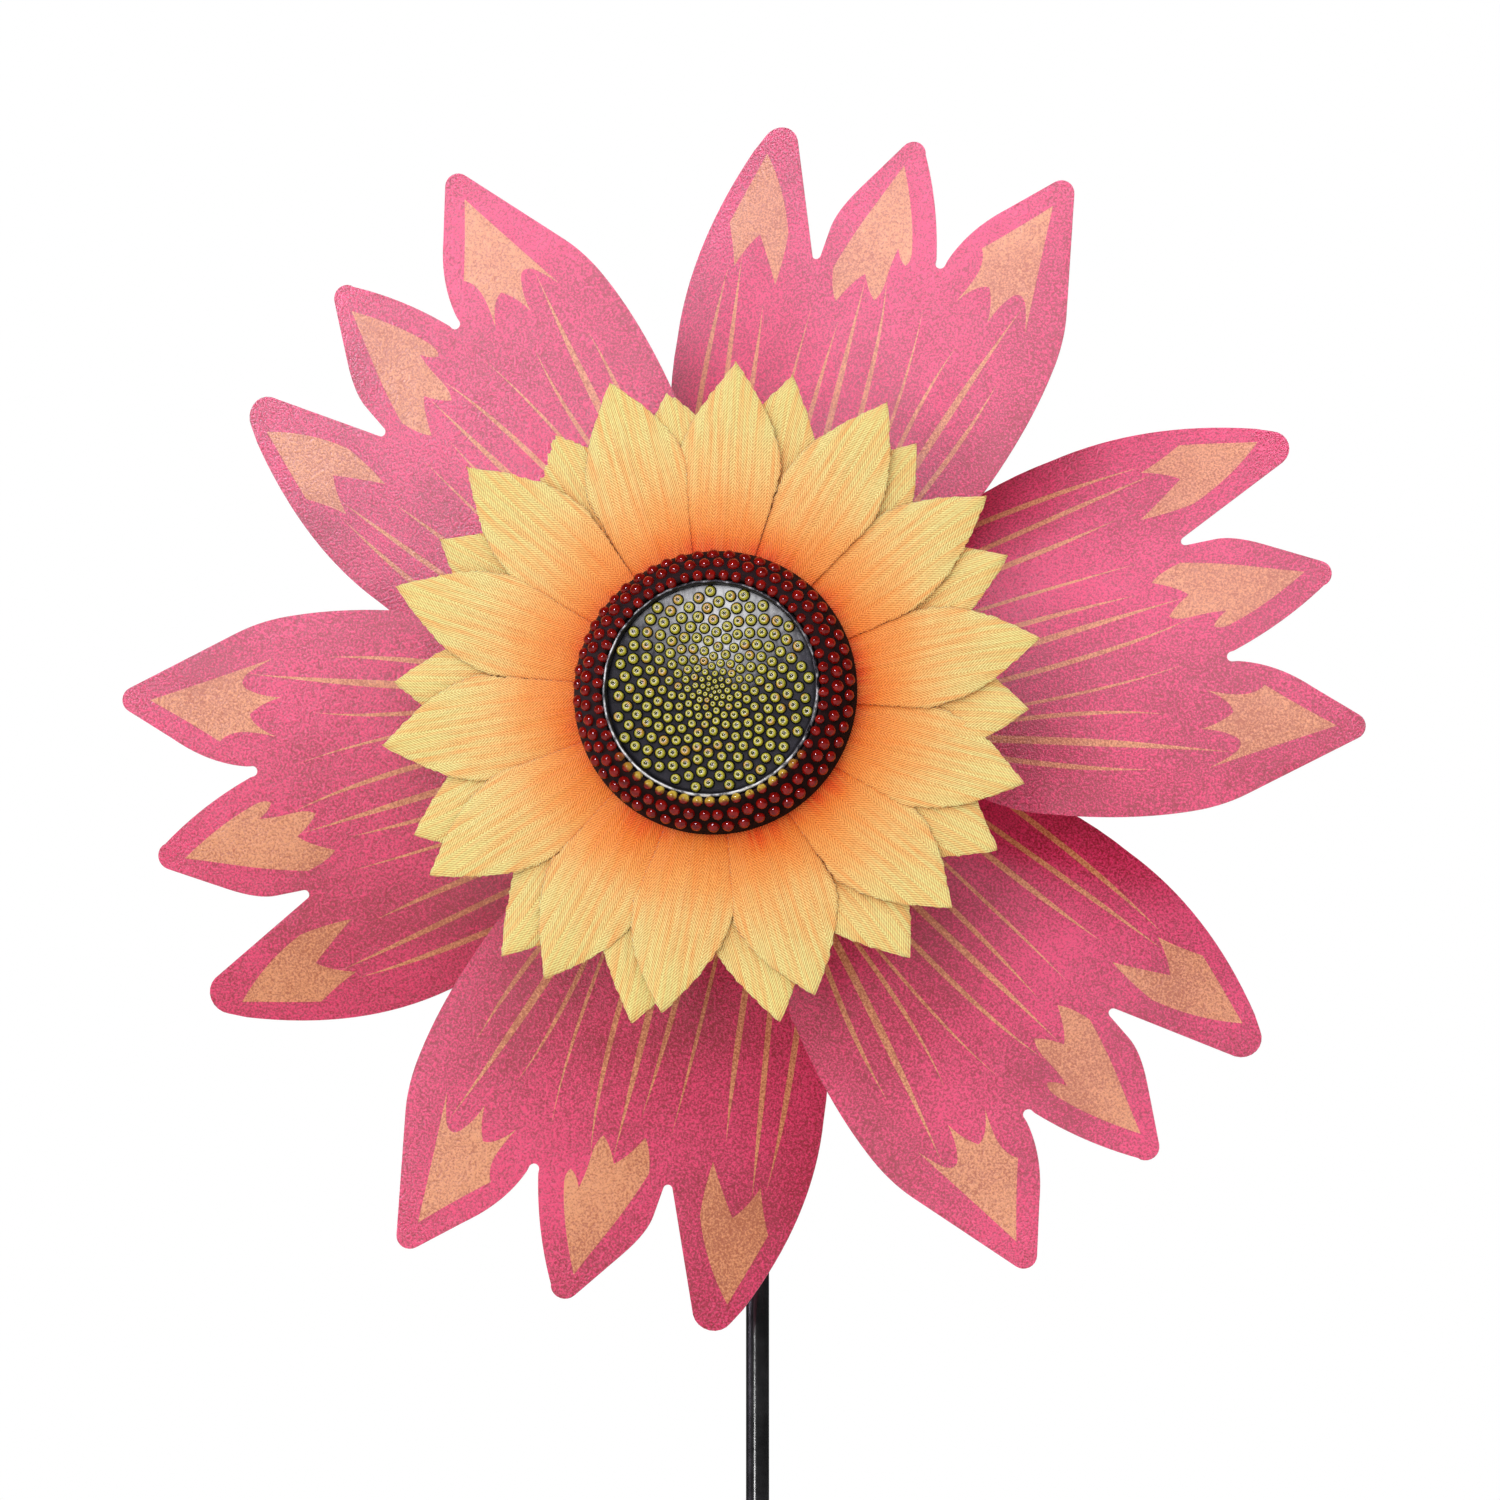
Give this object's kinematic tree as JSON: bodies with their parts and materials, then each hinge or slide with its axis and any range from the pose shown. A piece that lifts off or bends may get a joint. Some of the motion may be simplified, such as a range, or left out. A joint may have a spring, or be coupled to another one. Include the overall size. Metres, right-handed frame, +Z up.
{
  "type": "wind spinner",
  "caption": "Garden wind spinner: a wheel of pitched, three-lobed metal blades with a fabric flower at its centre, turning on a push-in pole.",
  "frame": {"origin": "ground line on the pole's axis, where the stake goes into the soil", "axes": "+Z up along the pole, the wheel and its flower face -Y, +X to the right as seen from the front"},
  "size_m": [0.3774, 0.115, 1.0072],
  "materials": {
    "pole_paint": "gloss black powder coat on steel",
    "black_plastic": "gloss black moulded plastic",
    "bolt_steel": "zinc plated",
    "plate_steel": "red paint on pressed steel",
    "hub_plastic": "matt black moulded plastic",
    "bush_nylon": "natural nylon",
    "blade_paint": "fine textured pink-red paint with a peach print",
    "calyx_green": "moulded green plastic",
    "petal_cloth": "woven polyester, yellow at the tips and orange at the roots",
    "seed_brown": "matt dark brown",
    "berry_red": "glossy dark red beads on dark brown",
    "rim_silver": "dry-brushed silver",
    "button_green": "yellow-green buttons with dark gaps, brushed with silver"
  },
  "bodies": {
    "pole": {"pole_tip": "pole_paint", "lower_tube": "pole_paint", "lower_connector": "pole_paint", "middle_tube": "pole_paint", "upper_connector": "pole_paint", "upper_tube": "pole_paint"},
    "head": {"head_housing": "black_plastic", "axle_bolt": "bolt_steel", "clamp_nut": "bolt_steel", "rear_spacer": "black_plastic", "rear_washer": "bolt_steel", "front_washer": "bolt_steel", "lock_nut": "bolt_steel"},
    "wheel": {"hub_barrel": "hub_plastic", "rear_bush": "bush_nylon", "front_bush": "bush_nylon", "blade_plate": "plate_steel", "blade_1": "blade_paint", "blade_2": "blade_paint", "blade_3": "blade_paint", "blade_4": "blade_paint", "blade_5": "blade_paint", "blade_6": "blade_paint", "blade_screws": "bolt_steel", "blade_nuts": "bolt_steel", "flower_carrier": "black_plastic", "carrier_screws": "bolt_steel", "flower_screw": "bolt_steel", "calyx": "calyx_green", "back_petals": "petal_cloth", "front_petals": "petal_cloth", "seed_base": "seed_brown", "berry_ring": "berry_red", "rim_ring": "rim_silver", "seed_dish": "button_green"}
  },
  "joints": [
    {"name": "head_turn", "type": "hinge", "parent": "pole", "child": "head", "pos_m": [0, 0, 0.62], "axis": [0, 0, 1], "continuous": true},
    {"name": "wheel_spin", "type": "hinge", "parent": "head", "child": "wheel", "pos_m": [0, 0, 0.62], "axis": [0, 1, 0], "continuous": true}
  ]
}
